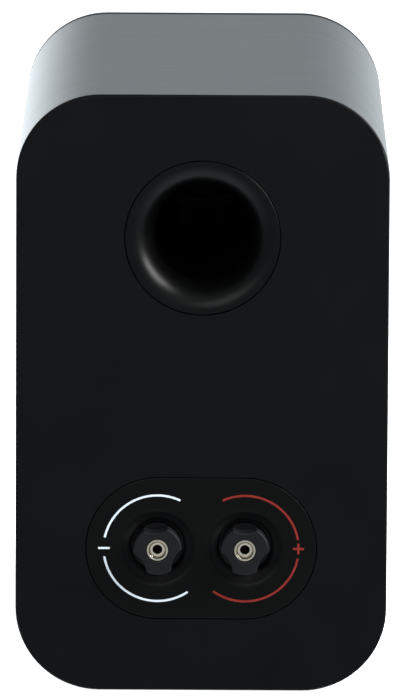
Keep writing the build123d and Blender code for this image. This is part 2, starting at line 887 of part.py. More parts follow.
with BuildPart() as woofer_yoke:
    revolve(
        outline(
            driver_section(woofer_z),
            (vent_radius, seat_depth),
            (pole_radius, seat_depth),
            (pole_radius, yoke_depth),
            (magnet_radius - 3, yoke_depth),
            (magnet_radius - 3, yoke_depth + yoke_thickness - 1.2),
            (magnet_radius - 5, yoke_depth + yoke_thickness),
            (vent_radius, yoke_depth + yoke_thickness),
        ),
        axis=axis_at(0, woofer_z),
    )
woofer_yoke.part.label = "woofer_yoke"

with BuildPart() as woofer_tag_strip:
    with Locations((0, front_y + 42.5, woofer_z + 40.5)):
        Box(24, 9, 1.5, align=(Align.CENTER, Align.CENTER, Align.MIN))
    with Locations((0, front_y + 42.5, woofer_z + 42)):
        with GridLocations(14, 1, 2, 1):
            Box(4.8, 0.8, 7, align=(Align.CENTER, Align.CENTER, Align.MIN))
woofer_tag_strip.part.label = "woofer_tag_strip"

# Tweeter

with BuildPart() as tweeter_gasket:
    extrude(
        ring(across(0, front_y + faceplate_rear + fit_gap, tweeter_z), faceplate_radius, 34),
        amount=faceplate_rear - tweeter_rebate_depth + 2 * fit_gap,
    )
    with Locations(across(0, front_y, tweeter_z)):
        with PolarLocations(tweeter_screw_circle, 4, start_angle=45):
            Hole(tweeter_screw_hole_radius)
tweeter_gasket.part.label = "tweeter_gasket"

with BuildPart() as tweeter_faceplate:
    revolve(
        outline(
            driver_section(tweeter_z),
            (15, faceplate_rear),
            (15, 2.8),
            (30, 0.1),
            (faceplate_radius, 0.1),
            (faceplate_radius, faceplate_rear),
            (30, faceplate_rear),
            (30, 5.1),
            (20, 5.1),
            (20, faceplate_rear),
        ),
        axis=axis_at(0, tweeter_z),
    )
    with Locations(across(0, front_y + 0.1, tweeter_z)):
        with PolarLocations(tweeter_screw_circle, 4, start_angle=45):
            CounterSinkHole(1.7, 3.15, depth=10, counter_sink_angle=90)
tweeter_faceplate.part.label = "tweeter_faceplate"

with BuildPart() as tweeter_bezel:
    revolve(
        outline(
            driver_section(tweeter_z),
            (36.2, -0.05),
            (36.2, -0.6),
            (37.1, -1.5),
            (45.2, -1.5),
            (46, -0.7),
            (46, -0.05),
        ),
        axis=axis_at(0, tweeter_z),
    )
tweeter_bezel.part.label = "tweeter_bezel"

with BuildPart() as tweeter_screws:
    with Locations(across(0, front_y + 0.2, tweeter_z)):
        with PolarLocations(tweeter_screw_circle, 4, start_angle=45):
            add(countersunk_screw(3.0, 1.5, tweeter_screw_length))
tweeter_screws.part.label = "tweeter_screws"

with BuildPart() as tweeter_dome:
    dome_sphere = (dome_radius**2 + dome_rise**2) / (2 * dome_rise)
    with BuildSketch(driver_section(tweeter_z)):
        with Locations((0, dome_base_depth - dome_rise + dome_sphere)):
            Circle(dome_sphere)
            Circle(dome_sphere - 0.3, mode=Mode.SUBTRACT)
        with Locations((dome_radius / 2, dome_base_depth - dome_rise)):
            Rectangle(dome_radius, 2 * dome_rise, mode=Mode.INTERSECT)
    revolve(axis=axis_at(0, tweeter_z))
tweeter_dome.part.label = "tweeter_dome"

with BuildPart() as tweeter_surround:
    with BuildSketch(driver_section(tweeter_z)):
        with BuildLine():
            ThreePointArc((14.2, 4.25), (12.75, 2.8), (11.3, 4.25))
            Line((11.3, 4.25), (11.6, 4.25))
            ThreePointArc((11.6, 4.25), (12.75, 3.1), (13.9, 4.25))
            Polyline((13.9, 4.25), (13.9, 5.1), (19, 5.1), (19, 4.25), (14.2, 4.25))
        make_face()
    revolve(axis=axis_at(0, tweeter_z))
tweeter_surround.part.label = "tweeter_surround"

with BuildPart() as tweeter_voice_coil:
    extrude(ring(across(0, front_y + dome_base_depth + fit_gap, tweeter_z), 11.25, 10.75), amount=-5)
tweeter_voice_coil.part.label = "tweeter_voice_coil"

with BuildPart() as tweeter_top_plate:
    extrude(
        ring(across(0, front_y + tweeter_plate_depth, tweeter_z), tweeter_magnet_radius - 1, 11.6),
        amount=-tweeter_plate_thickness,
    )
tweeter_top_plate.part.label = "tweeter_top_plate"

with BuildPart() as tweeter_magnet:
    magnet_front = tweeter_plate_depth + tweeter_plate_thickness + fit_gap
    extrude(
        ring(across(0, front_y + magnet_front, tweeter_z), tweeter_magnet_radius, 16),
        amount=-tweeter_magnet_thickness,
    )
tweeter_magnet.part.label = "tweeter_magnet"

with BuildPart() as tweeter_yoke:
    yoke_front = magnet_front + tweeter_magnet_thickness + fit_gap
    revolve(
        outline(
            driver_section(tweeter_z),
            (3, tweeter_plate_depth),
            (10.4, tweeter_plate_depth),
            (10.4, yoke_front),
            (tweeter_magnet_radius - 1, yoke_front),
            (tweeter_magnet_radius - 1, tweeter_yoke_end),
            (3, tweeter_yoke_end),
        ),
        axis=axis_at(0, tweeter_z),
    )
tweeter_yoke.part.label = "tweeter_yoke"

with BuildPart() as tweeter_rear_chamber:
    with BuildSketch(across(0, front_y + tweeter_yoke_end + fit_gap, tweeter_z)):
        Circle(chamber_radius)
    extrude(amount=-chamber_length)
    fillet(tweeter_rear_chamber.faces().sort_by(Axis.Y)[-1].edges(), 3)
    with BuildSketch(across(0, front_y + tweeter_yoke_end + fit_gap, tweeter_z)):
        Circle(chamber_radius - chamber_wall)
    extrude(amount=chamber_wall - chamber_length, mode=Mode.SUBTRACT)
tweeter_rear_chamber.part.label = "tweeter_rear_chamber"

with BuildPart() as tweeter_tags:
    with Locations((0, front_y + tweeter_yoke_end + 0.5, tweeter_z - 27)):
        with GridLocations(16, 1, 2, 1):
            Box(4.8, 0.8, 10.6, align=(Align.CENTER, Align.CENTER, Align.MAX))
tweeter_tags.part.label = "tweeter_tags"

# Internal wiring, a pair of wires to each place

with BuildPart() as terminal_leads:
    add(insulated_wire((20, 115.0, 52), (19.6, 112.5, 44), (15, 104, 38), (8, 95.5, 34)))
    add(insulated_wire((-20, 115.0, 52), (-19.6, 112.5, 44), (-15, 104, 38), (-8, 95.5, 34)))
terminal_leads.part.label = "terminal_leads"

with BuildPart() as woofer_leads:
    add(
        insulated_wire(
            (8, 12, 34), (9, 5, 48), (9, -16, 66), (8, -34, 92), (8, -50, 122), (8, -66, 146),
            (7, -84, 154), (7, -95, 147),
        )
    )
    add(
        insulated_wire(
            (-8, 12, 34), (-9, 5, 48), (-9, -16, 66), (-8, -34, 92), (-8, -50, 122), (-8, -66, 146),
            (-7, -84, 154), (-7, -95, 147),
        )
    )
woofer_leads.part.label = "woofer_leads"

with BuildPart() as tweeter_leads:
    add(
        insulated_wire(
            (36, 12, 34), (35, 3, 50), (31, -14, 78), (26, -31, 110), (22, -49, 142), (18, -68, 165),
            (14, -92, 172), (10, -110, 169), (8, -119, 175),
        )
    )
    add(
        insulated_wire(
            (22, 12, 34), (21, 3, 51), (16, -14, 80), (10, -33, 113), (4, -53, 144), (-2, -72, 167),
            (-6, -94, 173), (-8, -110, 169), (-8, -119, 175),
        )
    )
tweeter_leads.part.label = "tweeter_leads"

cabinet = [cabinet_shell, front_baffle, rear_panel, window_brace, wadding_pads, stand_inserts]
port = [port_flare, port_tube, port_inner_flare]
rear_terminals = [terminal_cup, terminal_gasket, binding_posts, post_insulators, post_nuts, solder_tags]
crossover = [
    crossover_board,
    board_standoffs,
    board_screws,
    board_tabs,
    inductor_bobbins,
    inductor_windings,
    film_capacitors,
    electrolytic_capacitor,
    power_resistors,
]
woofer = [
    woofer_gasket,
    woofer_basket,
    woofer_screws,
    woofer_cover_ring,
    woofer_bezel,
    woofer_surround,
    woofer_cone,
    woofer_dust_cap,
    woofer_former,
    woofer_voice_coil,
    woofer_spider,
    woofer_top_plate,
    woofer_magnet,
    woofer_yoke,
    woofer_tag_strip,
]
tweeter = [
    tweeter_gasket,
    tweeter_faceplate,
    tweeter_bezel,
    tweeter_screws,
    tweeter_dome,
    tweeter_surround,
    tweeter_voice_coil,
    tweeter_top_plate,
    tweeter_magnet,
    tweeter_yoke,
    tweeter_rear_chamber,
    tweeter_tags,
]
wiring = [terminal_leads, woofer_leads, tweeter_leads]

pieces = cabinet + port + rear_terminals + washers + caps + bushes + crossover + woofer + tweeter + wiring
for piece in pieces:
    export_step(piece.part, f"parts/{piece.part.label}.step")
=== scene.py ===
import bpy
import bmesh
import math
from mathutils import Matrix, Vector
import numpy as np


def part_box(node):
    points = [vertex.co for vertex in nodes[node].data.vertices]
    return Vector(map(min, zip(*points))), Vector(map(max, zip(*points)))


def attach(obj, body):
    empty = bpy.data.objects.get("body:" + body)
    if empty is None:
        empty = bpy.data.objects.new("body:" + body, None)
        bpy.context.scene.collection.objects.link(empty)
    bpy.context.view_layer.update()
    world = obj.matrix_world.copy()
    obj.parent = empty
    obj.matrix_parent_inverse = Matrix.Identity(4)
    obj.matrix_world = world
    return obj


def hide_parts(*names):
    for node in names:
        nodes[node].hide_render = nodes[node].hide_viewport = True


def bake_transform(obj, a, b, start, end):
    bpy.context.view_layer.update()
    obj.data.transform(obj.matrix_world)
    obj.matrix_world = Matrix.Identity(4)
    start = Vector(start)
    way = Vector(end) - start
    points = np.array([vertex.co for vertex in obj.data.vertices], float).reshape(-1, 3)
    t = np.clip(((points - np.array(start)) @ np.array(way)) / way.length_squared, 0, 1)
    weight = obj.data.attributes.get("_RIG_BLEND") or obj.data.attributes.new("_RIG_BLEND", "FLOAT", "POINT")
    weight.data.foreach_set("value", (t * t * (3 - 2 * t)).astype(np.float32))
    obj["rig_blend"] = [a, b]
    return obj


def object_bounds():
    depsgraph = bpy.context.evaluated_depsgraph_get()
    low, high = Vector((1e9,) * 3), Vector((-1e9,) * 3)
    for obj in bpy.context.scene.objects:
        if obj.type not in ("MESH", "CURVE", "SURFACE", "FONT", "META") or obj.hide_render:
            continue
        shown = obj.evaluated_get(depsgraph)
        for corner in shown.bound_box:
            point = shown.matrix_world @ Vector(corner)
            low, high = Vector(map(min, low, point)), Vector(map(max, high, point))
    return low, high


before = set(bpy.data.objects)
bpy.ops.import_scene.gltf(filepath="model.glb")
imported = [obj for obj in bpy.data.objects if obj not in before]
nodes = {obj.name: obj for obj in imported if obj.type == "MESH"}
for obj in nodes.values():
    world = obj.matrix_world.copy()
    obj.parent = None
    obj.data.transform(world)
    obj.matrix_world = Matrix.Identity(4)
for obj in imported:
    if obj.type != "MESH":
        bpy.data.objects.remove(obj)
cadLow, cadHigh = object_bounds()
print("frame loaded:", len(nodes), "nodes")


# materials

def startMaterial(name, shaderValues):
    mat = bpy.data.materials.new(name)
    mat.use_nodes = True
    shader = mat.node_tree.nodes["Principled BSDF"]
    for socket, value in shaderValues.items():
        shader.inputs[socket].default_value = value
    return mat, mat.node_tree, shader


def objectPattern(tree, kind, stretch=(1, 1, 1), centre=(0, 0, 0)):
    coords = tree.nodes.new("ShaderNodeTexCoord")
    mapping = tree.nodes.new("ShaderNodeMapping")
    mapping.inputs["Scale"].default_value = stretch
    mapping.inputs["Location"].default_value = [-c * s for c, s in zip(centre, stretch)]
    tree.links.new(coords.outputs["Object"], mapping.inputs["Vector"])
    pattern = tree.nodes.new(kind)
    tree.links.new(mapping.outputs["Vector"], pattern.inputs["Vector"])
    return pattern


def noise(tree, size, detail=3, rough=0.5, stretch=(1, 1, 1)):
    pattern = objectPattern(tree, "ShaderNodeTexNoise", stretch)
    pattern.inputs["Scale"].default_value = 1 / size   # size of a grain in metres
    pattern.inputs["Detail"].default_value = detail
    pattern.inputs["Roughness"].default_value = rough
    return pattern.outputs["Fac"]


def tintBetween(tree, shader, value, dark, light, low=0.3, high=0.7):
    ramp = tree.nodes.new("ShaderNodeValToRGB")
    ramp.color_ramp.elements[0].position = low
    ramp.color_ramp.elements[0].color = (*dark, 1)
    ramp.color_ramp.elements[1].position = high
    ramp.color_ramp.elements[1].color = (*light, 1)
    tree.links.new(value, ramp.inputs["Fac"])
    tree.links.new(ramp.outputs["Color"], shader.inputs["Base Color"])


def roughBetween(tree, shader, value, smooth, rough, low=0.3, high=0.7):
    span = tree.nodes.new("ShaderNodeMapRange")
    span.inputs["From Min"].default_value = low
    span.inputs["From Max"].default_value = high
    span.inputs["To Min"].default_value = smooth
    span.inputs["To Max"].default_value = rough
    tree.links.new(value, span.inputs["Value"])
    tree.links.new(span.outputs["Result"], shader.inputs["Roughness"])


def bumpFrom(tree, shader, value, height, strength=1.0):
    bump = tree.nodes.new("ShaderNodeBump")
    bump.inputs["Strength"].default_value = strength
    bump.inputs["Distance"].default_value = height
    tree.links.new(value, bump.inputs["Height"])
    tree.links.new(bump.outputs["Normal"], shader.inputs["Normal"])


def blended(tree, first, second, share):
    mix = tree.nodes.new("ShaderNodeMix")
    mix.inputs["Factor"].default_value = share
    tree.links.new(first, mix.inputs["A"])
    tree.links.new(second, mix.inputs["B"])
    return mix.outputs["Result"]


# a fine grain with a slower cloud under it: moulded plastic, film, paint, rubber, paper
def grained(name, look):
    mat, tree, shader = startMaterial(name, look["shader"])
    stretch = look.get("stretch", (1, 1, 1))
    fine = noise(tree, look["grain"], 3, 0.6, stretch)
    slow = noise(tree, look["cloud"], 2, 0.5, stretch)
    both = blended(tree, fine, slow, look.get("cloudShare", 0.5))
    tintBetween(tree, shader, both, look["dark"], look["light"])
    roughBetween(tree, shader, both, *look["rough"])
    bumpFrom(tree, shader, fine, look["height"], look.get("strength", 0.5))
    return mat


# turned or wound metal: rings about an axis that runs from front to rear, or up
def ringed(name, look):
    mat, tree, shader = startMaterial(name, look["shader"])
    rings = objectPattern(tree, "ShaderNodeTexWave", centre=look["centre"])
    rings.wave_type = "RINGS"
    rings.rings_direction = look.get("axis", "Y")
    rings.inputs["Scale"].default_value = 0.1 / look["pitch"]
    rings.inputs["Distortion"].default_value = look.get("wander", 0.6)
    rings.inputs["Detail"].default_value = 2
    rings.inputs["Detail Scale"].default_value = 3
    cloud = noise(tree, look["cloud"], 2)
    both = blended(tree, rings.outputs["Fac"], cloud, 0.4)
    tintBetween(tree, shader, both, look["dark"], look["light"], 0.1, 0.9)
    roughBetween(tree, shader, both, *look["rough"], 0.1, 0.9)
    bumpFrom(tree, shader, rings.outputs["Fac"], look["height"], look.get("strength", 0.4))
    return mat


# the cabinet's wrap: a fine streak that runs round the cabinet, across its depth
wrapLook = {
    "shader": {"Specular IOR Level": 0.5, "Specular Tint": (0.88, 0.97, 1.0, 1)},
    "streak": 0.00045,
    "streakLength": 0.045,
    "speck": 0.0006,
    "dark": (0.023, 0.026, 0.028),
    "light": (0.036, 0.041, 0.044),
    "rough": (0.28, 0.36),
    "height": 0.00002,
}


def wrapMaterial(name, look):
    mat, tree, shader = startMaterial(name, look["shader"])
    ratio = look["streak"] / look["streakLength"]
    streaks = noise(tree, look["streak"], 4, 0.65, (ratio, 1, ratio))
    broad = noise(tree, look["streak"] * 12, 2, 0.5, (ratio * 2, 1, ratio * 2))
    speck = noise(tree, look["speck"], 2, 0.6)
    drawn = blended(tree, streaks, broad, 0.35)
    both = blended(tree, drawn, speck, 0.3)
    tintBetween(tree, shader, both, look["dark"], look["light"], 0.35, 0.65)
    roughBetween(tree, shader, both, *look["rough"], 0.35, 0.65)
    bumpFrom(tree, shader, both, look["height"], 0.5)
    return mat


panelLook = {
    "shader": {"Specular IOR Level": 0.08},
    "dark": (0.0018, 0.0020, 0.0025),
    "light": (0.0028, 0.0031, 0.0038),
    "rough": (0.42, 0.52),
    "grain": 0.0006,
    "cloud": 0.030,
    "height": 0.00003,
}
cupLook = {
    "shader": {"Specular IOR Level": 0.09},
    "dark": (0.0013, 0.0013, 0.0013),
    "light": (0.0021, 0.0021, 0.0021),
    "rough": (0.34, 0.42),
    "grain": 0.0004,
    "cloud": 0.015,
    "height": 0.00002,
}
portLook = {
    "shader": {"Specular IOR Level": 0.12},
    "dark": (0.0010, 0.0011, 0.0012),
    "light": (0.0016, 0.0017, 0.0018),
    "rough": (0.32, 0.38),
    "grain": 0.0005,
    "cloud": 0.012,
    "height": 0.00001,
}
capLook = {
    "shader": {"Specular IOR Level": 0.17},
    "dark": (0.0032, 0.0033, 0.0042),
    "light": (0.0054, 0.0056, 0.0070),
    "rough": (0.50, 0.62),
    "grain": 0.0003,
    "cloud": 0.004,
    "height": 0.00004,
}
mat = {}
mat["wrap"] = wrapMaterial("graphiteWrap", wrapLook)
mat["panel"] = grained("satinBlackFilm", panelLook)
mat["cup"] = grained("cupMoulding", cupLook)
mat["port"] = grained("portMoulding", portLook)
mat["cap"] = grained("capGrip", capLook)
mat["fibreboard"] = grained("bareFibreboard", {
    "shader": {"Specular IOR Level": 0.2}, "dark": (0.24, 0.15, 0.075), "light": (0.36, 0.24, 0.13),
    "rough": (0.75, 0.9), "grain": 0.0012, "cloud": 0.02, "height": 0.0002})
mat["wadding"] = grained("waddingFibre", {
    "shader": {"Specular IOR Level": 0.1, "Sheen Weight": 0.4},
    "dark": (0.50, 0.50, 0.48), "light": (0.80, 0.80, 0.77),
    "rough": (0.9, 1.0), "grain": 0.0016, "cloud": 0.012, "height": 0.0016, "strength": 0.9})
mat["foam"] = grained("sealFoam", {
    "shader": {"Specular IOR Level": 0.2}, "dark": (0.008, 0.008, 0.008), "light": (0.020, 0.020, 0.020),
    "rough": (0.8, 0.95), "grain": 0.0005, "cloud": 0.004, "height": 0.0002, "strength": 0.8})
mat["rubber"] = grained("rollRubber", {
    "shader": {"Specular IOR Level": 0.4},
    "dark": (0.0060, 0.0060, 0.0062), "light": (0.0100, 0.0100, 0.0102),
    "rough": (0.42, 0.55), "grain": 0.0006, "cloud": 0.01, "height": 0.00003})
mat["dustCap"] = grained("dustCapGloss", {
    "shader": {"Specular IOR Level": 0.5},
    "dark": (0.0045, 0.0045, 0.0048), "light": (0.0070, 0.0070, 0.0074),
    "rough": (0.20, 0.28), "grain": 0.0008, "cloud": 0.01, "height": 0.00001})
mat["paper"] = grained("conePaper", {
    "shader": {"Specular IOR Level": 0.35},
    "dark": (0.010, 0.010, 0.0105), "light": (0.022, 0.022, 0.023),
    "rough": (0.50, 0.68), "grain": 0.0010, "cloud": 0.006, "height": 0.00012, "strength": 0.7})
mat["silk"] = grained("domeSilk", {
    "shader": {"Specular IOR Level": 0.4, "Sheen Weight": 0.15}, "dark": (0.0060, 0.0060, 0.0065),
    "light": (0.0120, 0.0120, 0.0128), "rough": (0.38, 0.5),
    "grain": 0.0004, "cloud": 0.003, "height": 0.00003})
mat["basket"] = grained("basketPaint", {
    "shader": {"Specular IOR Level": 0.45}, "dark": (0.012, 0.012, 0.013), "light": (0.020, 0.020, 0.021),
    "rough": (0.35, 0.5), "grain": 0.0007, "cloud": 0.01, "height": 0.00004})
mat["zinc"] = grained("zincPlate", {
    "shader": {"Metallic": 1.0}, "dark": (0.42, 0.43, 0.45), "light": (0.60, 0.61, 0.63),
    "rough": (0.28, 0.42), "grain": 0.0006, "cloud": 0.008, "height": 0.00001})
mat["blackScrew"] = grained("blackOxide", {
    "shader": {"Metallic": 0.8}, "dark": (0.020, 0.020, 0.021), "light": (0.040, 0.040, 0.042),
    "rough": (0.35, 0.5), "grain": 0.0004, "cloud": 0.004, "height": 0.00001})
mat["insert"] = grained("insertZinc", {
    "shader": {"Metallic": 1.0}, "dark": (0.48, 0.42, 0.26), "light": (0.66, 0.58, 0.38),
    "rough": (0.3, 0.45), "grain": 0.0006, "cloud": 0.005, "height": 0.00001})
mat["tinned"] = grained("tinnedTag", {
    "shader": {"Metallic": 1.0}, "dark": (0.62, 0.61, 0.58), "light": (0.78, 0.77, 0.74),
    "rough": (0.25, 0.4), "grain": 0.0005, "cloud": 0.004, "height": 0.00001})
mat["ferrite"] = grained("ferriteGrey", {
    "shader": {"Specular IOR Level": 0.5}, "dark": (0.030, 0.030, 0.032), "light": (0.055, 0.055, 0.058),
    "rough": (0.45, 0.65), "grain": 0.0008, "cloud": 0.009, "height": 0.00006})
mat["laminate"] = grained("boardLaminate", {
    "shader": {"Specular IOR Level": 0.5, "Coat Weight": 0.3}, "dark": (0.010, 0.085, 0.025),
    "light": (0.018, 0.125, 0.040), "rough": (0.3, 0.42),
    "grain": 0.0010, "cloud": 0.015, "height": 0.00003})
mat["strip"] = grained("tagStripLaminate", {
    "shader": {"Specular IOR Level": 0.4}, "dark": (0.16, 0.075, 0.025), "light": (0.24, 0.12, 0.045),
    "rough": (0.4, 0.55), "grain": 0.0008, "cloud": 0.006, "height": 0.00003})
mat["nylon"] = grained("naturalNylon", {
    "shader": {"Specular IOR Level": 0.4, "Subsurface Weight": 0.1},
    "dark": (0.70, 0.69, 0.62), "light": (0.80, 0.79, 0.73),
    "rough": (0.35, 0.45), "grain": 0.0008, "cloud": 0.006, "height": 0.00001})
mat["capacitorFilm"] = grained("capacitorTape", {
    "shader": {"Specular IOR Level": 0.5, "Coat Weight": 0.4},
    "dark": (0.55, 0.38, 0.03), "light": (0.70, 0.50, 0.05),
    "rough": (0.22, 0.34), "grain": 0.0012, "cloud": 0.01, "height": 0.00002})
mat["capacitorSleeve"] = grained("capacitorSleeve", {
    "shader": {"Specular IOR Level": 0.5, "Coat Weight": 0.4}, "dark": (0.012, 0.016, 0.060),
    "light": (0.020, 0.026, 0.085), "rough": (0.2, 0.3),
    "grain": 0.0012, "cloud": 0.008, "height": 0.00002})
mat["ceramic"] = grained("cementCeramic", {
    "shader": {"Specular IOR Level": 0.3}, "dark": (0.62, 0.60, 0.53), "light": (0.76, 0.74, 0.68),
    "rough": (0.65, 0.85), "grain": 0.0007, "cloud": 0.005, "height": 0.00008})
mat["jacket"] = grained("wireJacket", {
    "shader": {"Specular IOR Level": 0.45}, "dark": (0.010, 0.010, 0.010), "light": (0.020, 0.020, 0.020),
    "rough": (0.35, 0.5), "grain": 0.0008, "cloud": 0.01, "height": 0.00003})
mat["spider"] = grained("spiderCloth", {
    "shader": {"Specular IOR Level": 0.15, "Sheen Weight": 0.2},
    "dark": (0.30, 0.19, 0.05), "light": (0.46, 0.31, 0.10),
    "rough": (0.75, 0.9), "grain": 0.0006, "cloud": 0.004, "height": 0.00015, "strength": 0.8})
mat["former"] = grained("formerAluminium", {
    "shader": {"Metallic": 1.0}, "dark": (0.60, 0.61, 0.62), "light": (0.72, 0.73, 0.74),
    "rough": (0.25, 0.35), "grain": 0.0007, "cloud": 0.004, "height": 0.00001})


def centreOf(name):
    low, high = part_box(name)
    return tuple((low + high) / 2)


def turnedMetal(name, centre, dark, light, pitch=0.0002, rough=(0.10, 0.20)):
    return ringed(name, {
        "shader": {"Metallic": 1.0}, "centre": centre, "pitch": pitch, "cloud": 0.004,
        "dark": dark, "light": light, "rough": rough, "height": 0.000004})


nickelDark, nickelLight = (0.60, 0.54, 0.43), (0.80, 0.74, 0.62)
steelDark, steelLight = (0.50, 0.51, 0.52), (0.72, 0.73, 0.74)
for driver in ("woofer", "tweeter"):
    mat[driver + " bezel"] = turnedMetal(
        driver + "BezelAluminium", centreOf(driver + "_bezel"), steelDark, steelLight)
for terminal in ("negative", "positive"):
    mat[terminal + " bush"] = turnedMetal(
        terminal + "BushNickel", centreOf(terminal + "_bush"), nickelDark, nickelLight)
mat["nickel"] = grained("plainNickel", {
    "shader": {"Metallic": 1.0}, "dark": nickelDark, "light": nickelLight,
    "rough": (0.16, 0.26), "grain": 0.0005, "cloud": 0.003, "height": 0.000004})


# painted shade: the posts are painted bright nickel at the tip and darker further down the hole, where shade
# falls
postLook = {
    "shader": {"Metallic": 1.0},
    "boreShade": (0.030, 0.024, 0.016),
    "tip": (0.80, 0.74, 0.62),
    "shadeTo": -0.0008,
    "brightFrom": 0.0022,
    "rough": (0.12, 0.22),
}


def postMaterial(name, look):
    mat, tree, shader = startMaterial(name, look["shader"])
    coords = tree.nodes.new("ShaderNodeTexCoord")
    place = tree.nodes.new("ShaderNodeSeparateXYZ")
    tree.links.new(coords.outputs["Object"], place.inputs["Vector"])
    depth = tree.nodes.new("ShaderNodeMapRange")
    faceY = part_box("rear_panel")[1].y
    depth.inputs["From Min"].default_value = faceY + look["shadeTo"]
    depth.inputs["From Max"].default_value = faceY + look["brightFrom"]
    tree.links.new(place.outputs["Y"], depth.inputs["Value"])
    # painted shade: the nickel is painted darker the further it lies in from the tip
    tintBetween(tree, shader, depth.outputs["Result"], look["boreShade"], look["tip"], 0.0, 1.0)
    roughBetween(tree, shader, noise(tree, 0.0005), *look["rough"])
    return mat


mat["post"] = postMaterial("postNickelBoreShade", postLook)


# painted light: the cup's dishes are painted paler than its face, standing in for light falling on their
# walls
dishLightLook = {
    "shader": {"Specular IOR Level": 0.09},
    "face": (0.0017, 0.0017, 0.0017),
    "dishLight": (0.0150, 0.0152, 0.0160),
    "faceTo": -0.0001,
    "dishLightFrom": -0.0030,
    "grain": 0.0004,
    "rough": (0.34, 0.42),
    "height": 0.00002,
}


def dishLightMaterial(name, look):
    mat, tree, shader = startMaterial(name, look["shader"])
    coords = tree.nodes.new("ShaderNodeTexCoord")
    place = tree.nodes.new("ShaderNodeSeparateXYZ")
    tree.links.new(coords.outputs["Object"], place.inputs["Vector"])
    depth = tree.nodes.new("ShaderNodeMapRange")
    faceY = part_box("terminal_cup")[1].y
    depth.inputs["From Min"].default_value = faceY + look["dishLightFrom"]
    depth.inputs["From Max"].default_value = faceY + look["faceTo"]
    tree.links.new(place.outputs["Y"], depth.inputs["Value"])
    # painted light: the moulding is painted paler the deeper it lies below the cup's face
    tintBetween(tree, shader, depth.outputs["Result"], look["dishLight"], look["face"], 0.0, 1.0)
    fine = noise(tree, look["grain"])
    roughBetween(tree, shader, fine, *look["rough"])
    bumpFrom(tree, shader, fine, look["height"], 0.5)
    return mat


mat["terminal cup"] = dishLightMaterial("terminalCupDishLight", dishLightLook)
mat["copper"] = ringed("copperWinding", {
    "shader": {"Metallic": 1.0, "Coat Weight": 0.5}, "axis": "Z",
    "centre": centreOf("inductor_windings"), "pitch": 0.0008, "wander": 0.2, "cloud": 0.004,
    "dark": (0.30, 0.08, 0.02), "light": (0.62, 0.22, 0.07), "rough": (0.25, 0.4),
    "height": 0.0002, "strength": 0.8})
print("materials made:", len(mat))

nodeFinish = {
    "wrap": ["cabinet_shell"],
    "panel": ["front_baffle", "rear_panel"],
    "fibreboard": ["window_brace"],
    "wadding": ["wadding_pads"],
    "insert": ["stand_inserts"],
    "port": ["port_flare", "port_tube", "port_inner_flare"],
    "terminal cup": ["terminal_cup"],
    "cup": ["post_insulators", "inductor_bobbins", "tweeter_rear_chamber",
            "woofer_cover_ring", "tweeter_faceplate"],
    "foam": ["terminal_gasket", "woofer_gasket", "tweeter_gasket"],
    "nickel": ["post_nuts"],
    "post": ["binding_posts"],
    "negative bush": ["negative_bush"],
    "positive bush": ["positive_bush"],
    "cap": ["negative_cap", "positive_cap", "negative_washer", "positive_washer"],
    "tinned": ["solder_tags", "board_tabs"],
    "laminate": ["crossover_board"],
    "nylon": ["board_standoffs"],
    "zinc": ["board_screws", "woofer_top_plate", "woofer_yoke", "tweeter_top_plate"],
    "copper": ["inductor_windings", "woofer_voice_coil", "tweeter_voice_coil"],
    "capacitorFilm": ["film_capacitors"],
    "capacitorSleeve": ["electrolytic_capacitor"],
    "ceramic": ["power_resistors"],
    "basket": ["woofer_basket"],
    "blackScrew": ["woofer_screws", "tweeter_screws", "tweeter_yoke", "tweeter_tags"],
    "woofer bezel": ["woofer_bezel"],
    "tweeter bezel": ["tweeter_bezel"],
    "rubber": ["woofer_surround", "tweeter_surround"],
    "paper": ["woofer_cone"],
    "dustCap": ["woofer_dust_cap"],
    "former": ["woofer_former"],
    "spider": ["woofer_spider"],
    "ferrite": ["woofer_magnet", "tweeter_magnet"],
    "strip": ["woofer_tag_strip"],
    "silk": ["tweeter_dome"],
    "jacket": ["terminal_leads", "woofer_leads", "tweeter_leads"],
}
for finish, names in nodeFinish.items():
    for name in names:
        for materialSlot in nodes[name].material_slots:
            materialSlot.material = mat[finish]


# pieces

def makePiece(name, bm, finish, body, angle=30):
    mesh = bpy.data.meshes.new(name)
    bm.to_mesh(mesh)
    bm.free()
    mesh.shade_smooth()
    mesh.set_sharp_from_angle(angle=math.radians(angle))
    mesh.materials.append(mat[finish])
    piece = bpy.data.objects.new(name, mesh)
    bpy.context.collection.objects.link(piece)
    if body:
        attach(piece, body)
    return piece


# marks printed on the cup's face: an arc round each terminal, and its sign
inkLook = {
    "thickness": 0.00003,
    "stroke": 0.00100,
    "arcRadius": 0.0246,
    "signOut": 0.0245,
    "minusLength": 0.0053,
    "plusLength": 0.0051,
    "whiteArcs": {"Upper": (65, 168.4), "Lower": (189.2, 304.5)},
    "redArcs": {"Upper": (9.5, 114.7), "Lower": (-126, -10.5)},
    "white": ((0.66, 0.73, 0.80), (0.74, 0.81, 0.88)),
    "red": ((0.19, 0.010, 0.005), (0.24, 0.013, 0.007)),
}


def inkMaterial(name, tints):
    return grained(name, {
        "shader": {"Specular IOR Level": 0.3}, "dark": tints[0], "light": tints[1],
        "rough": (0.45, 0.6), "grain": 0.0003, "cloud": 0.004, "height": 0.00001})


mat["white ink"] = inkMaterial("whiteInk", inkLook["white"])
mat["red ink"] = inkMaterial("redInk", inkLook["red"])


def arcStroke(bm, centre, radius, start, end, look):
    # angles run anticlockwise as the rear is looked at, from its right
    half, thin = look["stroke"] / 2, look["thickness"]
    corners = [(radius - half, 0), (radius + half, 0), (radius + half, thin), (radius - half, thin)]
    verts = [bm.verts.new((centre.x - r, centre.y + y, centre.z)) for r, y in corners]
    section = bm.faces.new(verts)
    turn = Matrix.Rotation(math.radians(start), 3, (0, 1, 0))
    bmesh.ops.rotate(bm, verts=verts, cent=centre, matrix=turn)
    steps = max(8, round(abs(end - start) / 2))
    bmesh.ops.spin(bm, geom=[section] + section.edges[:] + verts, cent=centre, axis=(0, 1, 0),
                   angle=math.radians(end - start), steps=steps, use_merge=False, use_duplicate=False)


